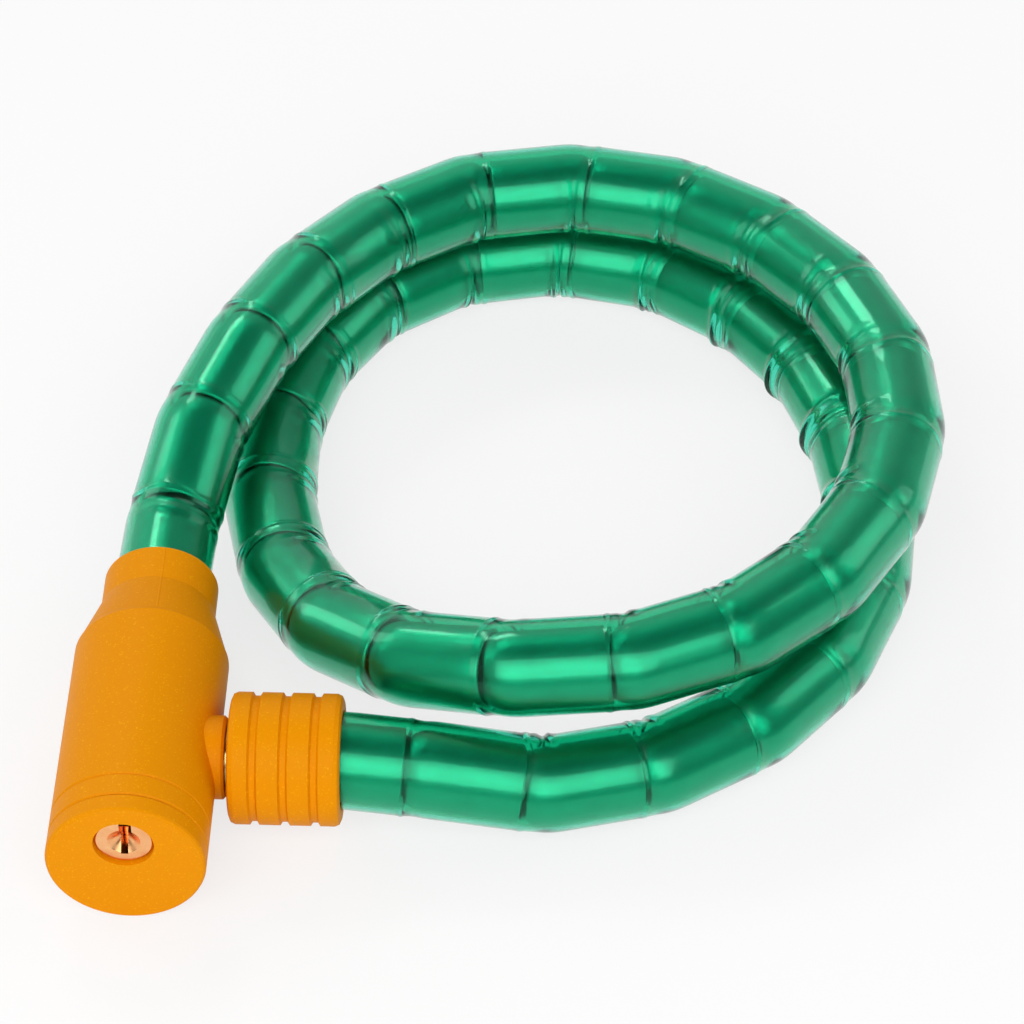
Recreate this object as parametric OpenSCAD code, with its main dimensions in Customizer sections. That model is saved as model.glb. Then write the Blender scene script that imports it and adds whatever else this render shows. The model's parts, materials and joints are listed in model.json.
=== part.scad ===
// Armoured cable lock: a key lock whose cable is a wire rope inside a chain of domed steel links,
// sheathed in clear plastic, coiled nearly twice with its end pin plugged into the lock's side.
// Millimetres, +Z up, standing on z = 0. The lock lies along +Y and its pin enters along X.

/* [Cable] */
// Diameter of the clear sleeve, across its flats
sleeve_d = 22; // [20:0.5:23]
// Wall of the clear sleeve
sleeve_wall = 1; // [0.8:0.1:1.3]
// Room between the sleeve and the links, all round
sleeve_room = 1; // [0.8:0.1:1.3]
// Wall of an armour link
link_wall = 1.2; // [0.8:0.1:1.4]
// Hole for the rope in the dome of a link
dome_hole_d = 12; // [10:0.5:12.6]
// Number of armour links
link_count = 38; // [37:1:40]
// Diameter of the wire rope
rope_d = 7; // [5:0.5:8]

/* [Lock body] */
// Diameter of the body
body_d = 35.4; // [34.6:0.2:38]
// Length of the body from key face to neck
body_len = 86.4; // [84:0.4:96]
// Wall of the body cover
cover_wall = 2.9; // [2.4:0.1:3.2]
// Wall of the collar at the neck
collar_wall = 2; // [1.6:0.1:2.6]
// Length of the collar
collar_len = 10.4; // [9:0.2:12]
// Length of the sloping shoulder
shoulder_len = 13.6; // [10:0.2:15]
// Thickness of the end cap
cap_t = 5; // [4:0.2:5.6]
// Distance of the decorative groove behind the cap
groove_gap = 6; // [4:0.5:8]
// Diameter of the raised boss round the socket
boss_d = 18.8; // [18:0.2:22]
// Height of the boss above the body
boss_h = 1.9; // [1:0.1:3]

/* [Key cylinder] */
// Diameter of the brass plug's head
plug_head_d = 13.2; // [12.4:0.2:13.6]
// Diameter of the plug behind its head
plug_d = 9.2; // [8.8:0.2:9.6]
// Height of the plug's axis above the body's axis
plug_rise = 6.5; // [6:0.1:6.8]
// Depth of the plug's face below the cap's face
plug_sunk = 1; // [0.4:0.1:1.6]
// Width of the key slot
key_slot_w = 1.6; // [1.2:0.1:2]
// Diameter of the conical lead-in round the slot
lead_in_d = 7.3; // [6:0.1:8]
// Number of tumbler pins
tumbler_count = 4; // [2:1:4]
// Spacing of the tumbler pins
tumbler_pitch = 3.4; // [3:0.1:3.5]

/* [Latch and lock pin] */
// Diameter of the lock pin
lock_pin_d = 12.4; // [11:0.2:12.8]
// Diameter of the neck in the pin's groove
pin_neck_d = 8; // [7:0.2:9]
// Distance of the pin's axis behind the key face
pin_u = 32.4; // [32:0.2:36]
// Reach of the pin past the body's axis
pin_reach = 9; // [8:0.2:10]
// Wall of the steel bush round the pin
bush_wall = 1.2; // [1:0.1:1.4]
// Length of the steel bush
bush_len = 10; // [8:0.5:11]
// Thickness of the latch plate
latch_t = 2.6; // [2.2:0.1:3]
// Throw of the drive pin from the plug's axis
drive_throw = 3; // [2.7:0.1:3.1]
// Diameter of the drive pin
drive_pin_d = 2.5; // [2:0.1:2.6]

/* [End fitting] */
// Wall of the end cover over the sleeve
end_wall = 3.6; // [3:0.1:5]
// Length of the end cover
end_len = 25; // [23:0.5:30]
// Gap between the boss and the closed end cover
end_gap = 1; // [0.6:0.1:2]
// Number of grip bands on the end cover
band_count = 4; // [2:1:6]
// Width of the grooves between the bands
band_groove_w = 2.2; // [1.4:0.1:2.6]
// Depth of the grooves between the bands
band_groove_depth = 0.8; // [0.4:0.1:1.2]
// Length of the ferrule that grips the rope
ferrule_len = 10.7; // [10:0.1:12]

/* [Clearances] */
// Room round a turning or sliding shaft
run_gap = 0.1; // [0.06:0.01:0.15]
// Room round a loose moving piece
slide_gap = 0.3; // [0.25:0.05:0.4]
// Room round a fixed piece in its seat
seat_gap = 0.05; // [0.03:0.01:0.1]
// Room between two faces that nearly meet
face_gap = 0.2; // [0.1:0.05:0.3]
// Room between two layers of the coil
stack_gap = 0.8; // [0.7:0.1:2]

/* [Hidden] */
$fn = 64;

// Place of the lock pin's axis in the coil, and the heights of the lock and of the two layers of cable
lock_x = -83;
pin_y = -82;
lock_z = body_d / 2;
face_y = pin_y - pin_u;
link_r = sleeve_d / 2 - sleeve_wall - sleeve_room;
link_drop = sleeve_room - slide_gap;
floor_z = sleeve_d / 2 - link_drop;
layer_lift = sleeve_d + stack_gap;
function on_body_axis(u) = [lock_x, face_y + u, lock_z];
function on_pin_axis(t) = [lock_x + t, pin_y, lock_z];

// Sleeve: many-sided tube, measured across its flats
sleeve_sides = 24;
sleeve_tip_r = sleeve_d / 2 / cos(180 / sleeve_sides);
sleeve_bore_tip_r = (sleeve_d / 2 - sleeve_wall) / cos(180 / sleeve_sides);
sleeve_seat_r = sleeve_tip_r + slide_gap / 2;
sleeve_lead = 0.5;

// Body, measured back from the key face
cap_rim_len = 1.6;
cap_rim_w = 1;
shoulder_web = 2.4;
sleeve_tuck = 14;
joint_tuck = 9;
core_r = body_d / 2 - cover_wall - seat_gap;
core_u = cap_t + cap_rim_len + face_gap;
collar_r = sleeve_seat_r + collar_wall;
shoulder_u = body_len - collar_len - shoulder_len;
core_end = shoulder_u - shoulder_web;
sleeve_stop_u = body_len - sleeve_tuck;
anchor_joint_u = body_len - joint_tuck;

// Key cylinder: a round shell with a straight block below it for the tumbler pins
cylinder_len = 16;
cylinder_u = cap_t + face_gap;
cylinder_end = cylinder_u + cylinder_len;
block_w = 6.4;
block_drop = 15.5;
plug_r = plug_d / 2;
plug_tail = 1.2;
plug_end = cylinder_end + plug_tail;
clip_t = 0.7;
clip_depth = 0.5;
clip_rim = 1;
tumbler_r = 1.2;
first_tumbler_u = cylinder_u + 2.4;
key_pin_top = 1.2;
driver_len = 3.4;
spring_cover_t = 0.8;
cross_pin_r = 0.7;
cross_pin_u = cylinder_end - 1.05;
cross_pin_drop = 11;
cross_pin_z = plug_rise - cross_pin_drop;

// Latch: the plate stands in the pin's groove and its fork holds the drive pin
drive_angle = 45;
drive_x = drive_throw * cos(drive_angle);
latch_stroke = 2 * drive_throw * sin(drive_angle);
latch_x = (drive_throw + drive_x) / 2 - latch_t / 2;
latch_rim = 2.4;
latch_hole_r = lock_pin_d / 2 + slide_gap;
latch_slot_r = pin_neck_d / 2 + slide_gap;
latch_front_u = plug_end + slide_gap;
latch_low_z = -latch_hole_r - latch_rim;
fork_z = plug_rise + drive_throw * sin(drive_angle);
fork_half = drive_pin_d / 2 + slide_gap / 2;
fork_depth = 3.2;
prong_t = 2.2;
latch_high_z = max(fork_z + fork_half + prong_t, latch_stroke + latch_slot_r + latch_rim);
latch_pocket_end = pin_u + latch_hole_r + latch_rim + slide_gap;

// Stem of the cable's anchor, from a web behind the latch's pocket to the core's end, and its two pins
stem_r = 7;
stem_web = 5.4;
stem_floor = 2;
stem_u = latch_pocket_end + stem_web;
stem_len = core_end - stem_u;
anchor_pin_r = 2;
anchor_pin_u = core_end - stem_len / 2;

// Lock pin and end fitting, measured out from the body's axis along the pin
pin_r = lock_pin_d / 2;
bush_r = pin_r + bush_wall;
boss_face_t = body_d / 2 + boss_h;
bush_inset = 0.5;
bush_t = boss_face_t - bush_inset - bush_len;
end_face_wall = 1.8;
end_t = boss_face_t + end_gap;
end_face_t = end_t + end_face_wall;
spigot_r = 4;
spigot_len = 3.4;
ferrule_r = link_r + 0.6;
ferrule_floor = 0.6;
ferrule_mouth_t = end_face_t + ferrule_len;

// Ball joint of two links: a dome centred on the joint stands in the mouth of the next link
mouth_r = link_r - link_wall;
mouth_off = sqrt(pow(link_r + slide_gap, 2) - pow(mouth_r, 2));
mouth_bevel = 0.5;
dome_hole_r = dome_hole_d / 2;
end_joint_t = ferrule_mouth_t + mouth_off;
sleeve_end_tuck = 2.4;
sleeve_end_t = end_joint_t - sleeve_end_tuck;

// Route of the links, waypoints chosen by hand: x, y and layer, from neck to end fitting. They were chosen
// for a neck at coil_neck, and where the neck stands elsewhere it draws the first of them along.
coil_neck = [-83, -28];
neck_pull = [lock_x, face_y + body_len] - coil_neck;
pulled_ways = 8;
coil = [
    [-81.5, -6, 0.44], [-76.5, 16, 0.79], [-66, 41, 1], [-44.5, 76, 1], [-10, 98.5, 1],
    [30, 98.5, 1], [65, 77, 1], [86, 42, 1], [88, 2, 1], [70.5, -36, 1],
    [36, -62, 1], [5, -67, 0.97], [-25, -57.5, 0.65], [-48, -33.5, 0.24], [-60.5, 6, 0],
    [-60, 40, 0], [-44, 79, 0], [-9, 101, 0], [31, 98, 0], [65, 70, 0],
    [81, 31, 0], [83, -8, 0], [67, -48, 0], [36, -74, 0]
];
waypoints = concat(
    [on_body_axis(anchor_joint_u), on_body_axis(body_len + 2)],
    [
        for (k = [0:len(coil) - 1]) let (w = coil[k], pull = neck_pull * max(0, 1 - k / pulled_ways))
            [w[0] + pull.x, w[1] + pull.y, floor_z + w[2] * layer_lift]
    ],
    [
        [4, pin_y - 1.7, floor_z + 0.08 * layer_lift],
        [-25, pin_y - 0.5, floor_z + 0.29 * layer_lift],
        on_pin_axis(end_joint_t + 8),
        on_pin_axis(end_joint_t)
    ]
);

// Smooth curve through the waypoints, as points with their distance along it
span_steps = 12;
last_way = len(waypoints) - 1;
function span(i) = norm(waypoints[i + 1] - waypoints[i]);
function heading(i) = (waypoints[i + 1] - waypoints[i]) / span(i);
function tangent(i) =
    i == 0 ? heading(0) :
    i == last_way ? heading(i - 1) :
    (heading(i - 1) * span(i) + heading(i) * span(i - 1)) / (span(i - 1) + span(i));
function on_span(i, s) =
    (1 + 2 * s) * pow(1 - s, 2) * waypoints[i]
    + s * pow(1 - s, 2) * span(i) * tangent(i)
    + s * s * (3 - 2 * s) * waypoints[i + 1]
    + s * s * (s - 1) * span(i) * tangent(i + 1);
function lifted(p) = [p.x, p.y, max(p.z, floor_z)];
curve = [
    for (i = [0:last_way - 1]) for (k = [0:span_steps - (i < last_way - 1 ? 1 : 0)])
        lifted(on_span(i, k / span_steps))
];
function step_len(i) = i < len(curve) - 1 ? norm(curve[i + 1] - curve[i]) : 0;
run = [for (i = 0, d = 0; i < len(curve); d = d + step_len(i), i = i + 1) d];
cable_len = run[len(run) - 1];
along_x = [for (i = [0:len(run) - 1]) [run[i], curve[i].x]];
along_y = [for (i = [0:len(run) - 1]) [run[i], curve[i].y]];
along_z = [for (i = [0:len(run) - 1]) [run[i], curve[i].z]];
function at_run(d) = [lookup(d, along_x), lookup(d, along_y), lookup(d, along_z)];

// Ball joints, evenly spaced along the curve
pitch = cable_len / link_count;
joints = [for (i = [0:link_count]) at_run(i * pitch)];
function unit(v) = v / norm(v);
function link_heading(i) = unit(joints[i] - joints[i - 1]);
function joint_heading(i) = unit(link_heading(i) + link_heading(i + 1));
function bend(i) = acos(min(1, link_heading(i) * link_heading(i + 1)));

// Sleeve stations: square to the body's collar and to the end cover, and mitred at each joint
// between, where the sleeve is raised so that the links lie on its floor
function ease(i) = min(1, i / 2, (link_count - i) / 2);
sleeve_centres = concat(
    [on_body_axis(sleeve_stop_u), on_body_axis(body_len + sleeve_lead)],
    [for (i = [1:link_count - 1]) joints[i] + [0, 0, link_drop * ease(i)]],
    [on_pin_axis(end_t + end_len + sleeve_lead), on_pin_axis(sleeve_end_t)]
);
sleeve_headings = concat(
    [[0, 1, 0], [0, 1, 0]],
    [for (i = [1:link_count - 1]) joint_heading(i)],
    [[-1, 0, 0], [-1, 0, 0]]
);
sleeve_widening = concat([1, 1], [for (i = [1:link_count - 1]) 1 / cos(bend(i) / 2)], [1, 1]);
function ring(centre, ahead, r, sides, widening = 1) =
    let (side = unit(cross(ahead, [0, 0, 1])), up = cross(side, ahead))
    [
        for (k = [0:sides - 1]) let (a = 360 * (k + 0.5) / sides)
            centre + side * (r * cos(a) * widening) + up * (r * sin(a))
    ];
function sleeve_rings(r) = [
    for (i = [0:len(sleeve_centres) - 1])
        ring(sleeve_centres[i], sleeve_headings[i], r, sleeve_sides, sleeve_widening[i])
];

// Least gap of the sleeve to itself, on four points a station and over two links apart
probe_share = 4;
probes = [
    for (i = [0:len(sleeve_centres) - 2]) for (k = [0:probe_share - 1])
        sleeve_centres[i] + (sleeve_centres[i + 1] - sleeve_centres[i]) * k / probe_share
];
sleeve_gap = min([
    for (i = [0:len(probes) - 1]) for (k = [i + 3 * probe_share:1:len(probes) - 1])
        norm(probes[i] - probes[k])
]) - 2 * sleeve_tip_r;
sharpest_bend = max([for (i = [1:link_count - 1]) bend(i)]);
echo(str("cable length ", cable_len, ", link pitch ", pitch, ", sharpest bend ", sharpest_bend));
echo(str("least gap of the sleeve to itself ", sleeve_gap));
echo(joints = joints);

// Tube through a list of rings, closed at both ends or bored by a second list
function side_faces(n, sides, from, turned) = [
    for (i = [0:n - 2]) for (k = [0:sides - 1]) for (half = [0, 1])
        let (
            a = from + i * sides + k,
            b = from + i * sides + (k + 1) % sides,
            tri = half == 0 ? [a, b, b + sides] : [a, b + sides, a + sides]
        )
        turned ? [tri[2], tri[1], tri[0]] : tri
];
function flat(lists) = [for (l = lists) for (p = l) p];
module solid_tube(rings) {
    n = len(rings);
    sides = len(rings[0]);
    caps = [
        [for (k = [sides - 1:-1:0]) k],
        [for (k = [0:sides - 1]) (n - 1) * sides + k]
    ];
    polyhedron(flat(rings), concat(caps, side_faces(n, sides, 0, false)));
}
module bored_tube(outer, inner) {
    n = len(outer);
    sides = len(outer[0]);
    in = n * sides;
    last = (n - 1) * sides;
    rims = [
        for (k = [0:sides - 1]) let (next = (k + 1) % sides) each [
            [k, in + k, in + next],
            [k, in + next, next],
            [last + k, last + next, in + last + next],
            [last + k, in + last + next, in + last + k]
        ]
    ];
    walls = concat(side_faces(n, sides, 0, false), side_faces(n, sides, in, true));
    polyhedron(concat(flat(outer), flat(inner)), concat(walls, rims));
}

// Places: the lock's frame has its origin at the centre of the key face and y along the body
module at_lock() {
    translate(on_body_axis(0)) children();
}
module along_body(u, z = 0, x = 0) {
    translate([x, u, z]) rotate([-90, 0, 0]) children();
}
module across_body(u, z = 0, x = 0) {
    translate([x, u, z]) rotate([0, 90, 0]) children();
}
module at_pin(t = 0) {
    translate(on_pin_axis(t)) rotate([0, 90, 0]) children();
}
module along_link(i) {
    d = joints[i] - joints[i - 1];
    translate(joints[i]) rotate([0, acos(d.z / norm(d)), atan2(d.y, d.x)]) children();
}

// Shapes shared by several pieces
module rod(r, h, chamfer = 0.3) {
    rotate_extrude() polygon([
        [0, 0], [r - chamfer, 0], [r, chamfer], [r, h - chamfer], [r - chamfer, h], [0, h]
    ]);
}
module quarter(r) {
    intersection() {
        circle(r);
        square(r);
    }
}
// Half section of a link end: wall up to the joint, and a dome beyond it with a hole for the rope
module domed_end_section(start, hole_r) {
    difference() {
        union() {
            translate([0, start]) square([link_r, -start]);
            quarter(link_r);
        }
        translate([0, start - 1]) square([mouth_r, 1 - start]);
        quarter(mouth_r);
        square([hole_r, link_r + 1]);
    }
}
module tumbler_row(r, from, to) {
    for (k = [0:tumbler_count - 1])
        translate([0, first_tumbler_u + k * tumbler_pitch, plug_rise - to])
            cylinder(r = r, h = to - from);
}
module cylinder_outline(r, w, drop, u, len) {
    along_body(u, plug_rise) cylinder(r = r, h = len);
    translate([-w / 2, u, plug_rise - drop]) cube([w, len, drop]);
}
module cross_pin_hole() {
    across_body(cross_pin_u, cross_pin_z, -body_d) cylinder(r = cross_pin_r + seat_gap, h = 2 * body_d);
}

// Lock body

module body_cover() {
    lip = 0.4;
    front = cap_t + face_gap / 2;
    groove = cap_t + groove_gap;
    collar_u = body_len - collar_len;
    collar_edge = 0.8;
    shoulder_edge = 1;
    flare = 0.2;
    color("orange") at_lock() difference() {
        union() {
            along_body(0) rotate_extrude() polygon([
                [0, front], [body_d / 2 - lip, front], [body_d / 2, front + lip],
                [body_d / 2, groove - lip], [body_d / 2 - lip, groove], [body_d / 2, groove + lip],
                [body_d / 2, shoulder_u - shoulder_edge], [body_d / 2 - lip, shoulder_u],
                [collar_r + flare, collar_u - 3 * flare], [collar_r, collar_u],
                [collar_r, body_len - collar_edge], [collar_r - collar_edge, body_len], [0, body_len]
            ]);
            across_body(pin_u) rod(boss_d / 2, boss_face_t, 0.6);
        }
        along_body(cap_t) cylinder(r = core_r + seat_gap, h = core_end + seat_gap - cap_t);
        along_body(core_end - 1) cylinder(r = link_r + seat_gap, h = body_len);
        along_body(sleeve_stop_u - slide_gap) cylinder(r = sleeve_seat_r, h = body_len);
        across_body(pin_u) cylinder(r = bush_r + seat_gap, h = body_d);
    }
}

module end_cap() {
    edge = 0.7;
    lip = 0.4;
    rim_end = cap_t + cap_rim_len;
    rim_r = core_r - cap_rim_w;
    color("orange") at_lock() difference() {
        along_body(0) rotate_extrude() polygon([
            [0, 0], [body_d / 2 - edge, 0], [body_d / 2 - edge * 0.3, edge * 0.6], [body_d / 2, edge * 1.4],
            [body_d / 2, cap_t - lip], [body_d / 2 - lip, cap_t], [core_r, cap_t],
            [core_r, rim_end], [rim_r, rim_end], [rim_r, cap_t], [0, cap_t]
        ]);
        along_body(-1, plug_rise) cylinder(r = plug_head_d / 2 + run_gap, h = cap_t + 2);
    }
}

module lock_core() {
    pocket_x = latch_x - slide_gap;
    pocket_w = latch_t + 2 * slide_gap;
    pocket_len = latch_pocket_end - plug_end;
    pocket_low = latch_low_z - latch_stroke - slide_gap;
    drive_room = drive_throw + drive_pin_d / 2 + slide_gap;
    shell_drop = block_drop + spring_cover_t + seat_gap;
    color("silver") at_lock() difference() {
        along_body(core_u) rod(core_r, core_end - core_u, 0.5);
        cylinder_outline(
            plug_head_d / 2 + seat_gap, block_w + 2 * seat_gap, shell_drop, core_u - 1, plug_end + 1 - core_u
        );
        along_body(plug_end - 1, plug_rise) cylinder(r = drive_room, h = 1 + fork_depth + 2 * slide_gap);
        translate([pocket_x, plug_end, pocket_low]) cube([pocket_w, pocket_len, core_r - pocket_low + 1]);
        across_body(pin_u, 0, -pin_reach - 2) cylinder(r = pin_r + run_gap, h = body_d);
        across_body(pin_u, 0, bush_t - seat_gap) cylinder(r = bush_r + seat_gap, h = body_d);
        along_body(stem_u - seat_gap) cylinder(r = stem_r + seat_gap, h = stem_len + 1);
        translate([0, anchor_pin_u, -body_d]) cylinder(r = anchor_pin_r + seat_gap, h = 2 * body_d);
        cross_pin_hole();
    }
}

module socket_bush() {
    color("gray") at_pin(bush_t) difference() {
        rod(bush_r, bush_len, 0.4);
        translate([0, 0, -1]) cylinder(r = pin_r + run_gap, h = bush_len + 2);
    }
}

// Key cylinder

module cylinder_shell() {
    color("darkgoldenrod") at_lock() difference() {
        cylinder_outline(plug_head_d / 2, block_w, block_drop, cylinder_u, cylinder_len);
        along_body(cylinder_u - 1, plug_rise) cylinder(r = plug_r + run_gap, h = cylinder_len + 2);
        tumbler_row(tumbler_r + run_gap, 0, block_drop + 1);
        cross_pin_hole();
    }
}

module cylinder_pin() {
    half = sqrt(pow(core_r, 2) - pow(cross_pin_z, 2)) - 2 * cross_pin_r;
    color("gray") at_lock() across_body(cross_pin_u, cross_pin_z, -half) rod(cross_pin_r, 2 * half, 0.2);
}

module spring_cover() {
    back = 1;
    color("gray") at_lock()
        translate([-block_w / 2, cylinder_u + back, plug_rise - block_drop - spring_cover_t])
            cube([block_w, cylinder_len - back, spring_cover_t]);
}

module driver_pins() {
    shear = plug_r + run_gap;
    color("gold") at_lock() tumbler_row(tumbler_r, shear + seat_gap, shear + driver_len);
}

module tumbler_springs() {
    wire_r = 0.22;
    turns = 4;
    turn_steps = 8;
    wire_sides = 5;
    top = plug_r + run_gap + driver_len + wire_r + seat_gap;
    drop = block_drop - top - wire_r - seat_gap;
    steps = turns * turn_steps;
    coil_r = tumbler_r - wire_r - run_gap;
    fall = drop / turns / (2 * PI * coil_r);
    rings = [
        for (k = [0:steps])
            let (
                a = 360 * k / turn_steps,
                at = [coil_r * cos(a), coil_r * sin(a), -top - drop * k / steps]
            )
            ring(at, unit([-sin(a), cos(a), -fall]), wire_r, wire_sides)
    ];
    color("silver") at_lock() for (k = [0:tumbler_count - 1])
        translate([0, first_tumbler_u + k * tumbler_pitch, plug_rise]) solid_tube(rings);
}

module plug() {
    head_len = cap_t - plug_sunk - face_gap / 2;
    slot_end = cylinder_end - 1;
    slot_low = lead_in_d / 2 + 0.3;
    step_w = key_slot_w + 1.1;
    step_low = 1;
    lead_in_depth = 2.4;
    groove_r = plug_r - clip_depth;
    drive_seat_u = cylinder_end - 0.8;
    color("darkgoldenrod") at_lock() difference() {
        union() {
            along_body(plug_sunk, plug_rise) rod(plug_head_d / 2, head_len, 0.5);
            along_body(plug_sunk + 1, plug_rise) cylinder(r = plug_r, h = plug_end - plug_sunk - 1);
        }
        along_body(plug_sunk, plug_rise) cylinder(r1 = lead_in_d / 2, r2 = key_slot_w / 2, h = lead_in_depth);
        translate([-key_slot_w / 2, 0, plug_rise - slot_low]) cube([key_slot_w, slot_end, body_d]);
        translate([-key_slot_w / 2, 0, plug_rise + step_low]) cube([step_w, slot_end, body_d]);
        tumbler_row(tumbler_r + run_gap, 0, plug_r + 1);
        along_body(cylinder_end + face_gap / 2, plug_rise) difference() {
            cylinder(r = plug_r + 1, h = clip_t + face_gap / 2);
            translate([0, 0, -1]) cylinder(r = groove_r, h = clip_t + 3);
        }
        along_body(drive_seat_u, fork_z, drive_x) cylinder(r = drive_pin_d / 2 + seat_gap, h = plug_tail + 2);
    }
}

module plug_clip() {
    jaw = 1.6;
    mouth_w = 2 * (plug_r - jaw);
    color("gray") at_lock() along_body(cylinder_end + face_gap * 0.75, plug_rise) difference() {
        cylinder(r = plug_r + clip_rim, h = clip_t);
        translate([0, 0, -1]) cylinder(r = plug_r - clip_depth + seat_gap, h = clip_t + 2);
        rotate(-90 - drive_angle) translate([-mouth_w / 2, 0, -1]) cube([mouth_w, plug_r + 2, clip_t + 2]);
    }
}

module drive_pin() {
    from = cylinder_end - 0.7;
    to = plug_end + fork_depth;
    color("gray") at_lock() along_body(from, fork_z, drive_x) rod(drive_pin_d / 2, to - from, 0.3);
}

module key_pins() {
    color("gold") at_lock() tumbler_row(tumbler_r, key_pin_top, plug_r - seat_gap);
}

// Latch

module latch_plate() {
    front = latch_front_u - pin_u;
    back = latch_hole_r + latch_rim;
    corner = 4;
    arm_low = fork_z - fork_half - prong_t;
    color("silver") at_lock() translate([latch_x, pin_u, 0]) rotate([90, 0, 90]) linear_extrude(latch_t)
        difference() {
            polygon([
                [front, latch_high_z - 1], [front + 1, latch_high_z],
                [back - corner, latch_high_z], [back, latch_high_z - corner],
                [back, latch_low_z + corner], [back - corner, latch_low_z],
                [-back + corner, latch_low_z], [-back, latch_low_z + corner],
                [-back, arm_low], [front, arm_low]
            ]);
            circle(latch_hole_r);
            translate([-latch_slot_r, 0]) square([2 * latch_slot_r, latch_stroke]);
            translate([0, latch_stroke]) circle(latch_slot_r);
            translate([front - 1, fork_z - fork_half]) square([fork_depth + 1, 2 * fork_half]);
        }
}

// Cable

module cable_anchor() {
    start = core_end + slide_gap - anchor_joint_u;
    stem = stem_u - anchor_joint_u;
    floor_t = 4;
    color("silver") at_lock() along_body(anchor_joint_u) difference() {
        union() {
            rotate_extrude() {
                domed_end_section(start, dome_hole_r);
                translate([0, start]) square([mouth_r + link_wall / 2, floor_t]);
            }
            translate([0, 0, stem]) rod(stem_r, stem_len + 1, 0.5);
        }
        translate([0, 0, stem + stem_floor]) cylinder(r = rope_d / 2 + seat_gap, h = body_len);
        translate([0, body_d, anchor_pin_u - anchor_joint_u]) rotate([90, 0, 0])
            cylinder(r = anchor_pin_r + seat_gap, h = 2 * body_d);
    }
}

module anchor_pin() {
    grip = rope_d / 2 + face_gap;
    reach = core_r - 0.6;
    color("gray") at_lock() translate([0, anchor_pin_u, 0]) {
        translate([0, 0, grip]) rod(anchor_pin_r, reach - grip);
        translate([0, 0, -reach]) rod(anchor_pin_r, reach - grip);
    }
}

module inner_rope() {
    rope_sides = 8;
    steps = 2 * link_count;
    start = on_body_axis(stem_u + stem_floor + face_gap / 2);
    finish = on_pin_axis(end_face_t + spigot_len + ferrule_floor + face_gap);
    centres = concat([start], [for (k = [0:steps]) at_run(k * cable_len / steps)], [finish]);
    last = len(centres) - 1;
    rings = [
        for (k = [0:last])
            let (ahead = unit(centres[min(last, k + 1)] - centres[max(0, k - 1)]))
            ring(centres[k], ahead, rope_d / 2, rope_sides)
    ];
    color("gray") solid_tube(rings);
}

module armour_link(i) {
    mouth = mouth_off - pitch;
    color("lightgray") along_link(i) rotate_extrude() difference() {
        domed_end_section(mouth, dome_hole_r);
        translate([mouth_r, mouth]) rotate(45) square(mouth_bevel, center = true);
    }
}

module sleeve() {
    color([0, 0.6, 0.43, 0.6]) bored_tube(sleeve_rings(sleeve_tip_r), sleeve_rings(sleeve_bore_tip_r));
}

// End fitting

module lock_pin() {
    tip = 2;
    groove_room = 0.4;
    groove_from = latch_x - groove_room;
    groove_to = latch_x + latch_t + groove_room;
    neck_r = pin_neck_d / 2;
    spigot_end = end_face_t + spigot_len;
    color("silver") at_pin() rotate_extrude() polygon([
        [0, -pin_reach], [pin_r - tip, -pin_reach], [pin_r, tip - pin_reach],
        [pin_r, groove_from], [neck_r, groove_from], [neck_r, groove_to], [pin_r, groove_to],
        [pin_r, end_face_t], [spigot_r, end_face_t], [spigot_r, spigot_end], [0, spigot_end]
    ]);
}

module end_ferrule() {
    cup_depth = 3.2;
    socket_len = spigot_len + face_gap / 2;
    color("silver") at_pin(end_face_t + seat_gap) difference() {
        rod(ferrule_r, ferrule_len - seat_gap, 0.4);
        translate([0, 0, -1]) cylinder(r = spigot_r + seat_gap, h = socket_len + 1);
        translate([0, 0, spigot_len + ferrule_floor]) cylinder(r = rope_d / 2 + seat_gap, h = ferrule_len);
        translate([0, 0, ferrule_len - cup_depth]) cylinder(r = mouth_r, h = cup_depth + 1);
    }
}

module end_cover() {
    outer_r = sleeve_seat_r + end_wall;
    groove_r = outer_r - band_groove_depth;
    band_w = (end_len - (band_count - 1) * band_groove_w) / band_count;
    step = band_w + band_groove_w;
    slope = band_groove_depth * 0.6;
    edge = 1.4;
    bevel = edge * 0.3;
    grooves = [
        for (k = [0:band_count - 2]) let (a = band_w + k * step) each [
            [outer_r, a], [groove_r, a + slope],
            [groove_r, a + band_groove_w - slope], [outer_r, a + band_groove_w]
        ]
    ];
    near_edge = [[0, 0], [outer_r - edge, 0], [outer_r - bevel, bevel], [outer_r, edge]];
    far_edge = [
        [outer_r, end_len - edge], [outer_r - bevel, end_len - bevel], [outer_r - edge, end_len], [0, end_len]
    ];
    color("orange") at_pin(end_t) difference() {
        rotate_extrude() polygon(concat(near_edge, grooves, far_edge));
        translate([0, 0, -1]) cylinder(r = pin_r + seat_gap, h = end_len);
        translate([0, 0, end_face_t - end_t]) cylinder(r = ferrule_r + seat_gap, h = end_len);
        translate([0, 0, sleeve_end_t - end_t - slide_gap]) cylinder(r = sleeve_seat_r, h = end_len);
    }
}

function link_name(i) = str("link_", i < 10 ? "0" : "", i);

body_cover();
end_cap();
lock_core();
socket_bush();
cylinder_shell();
cylinder_pin();
spring_cover();
driver_pins();
tumbler_springs();
plug();
plug_clip();
drive_pin();
key_pins();
latch_plate();
cable_anchor();
anchor_pin();
inner_rope();
sleeve();
lock_pin();
end_ferrule();
end_cover();
for (i = [1:link_count]) armour_link(i);
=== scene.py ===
import json
import math

import bpy
import numpy as np
from mathutils import Matrix, Vector

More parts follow.
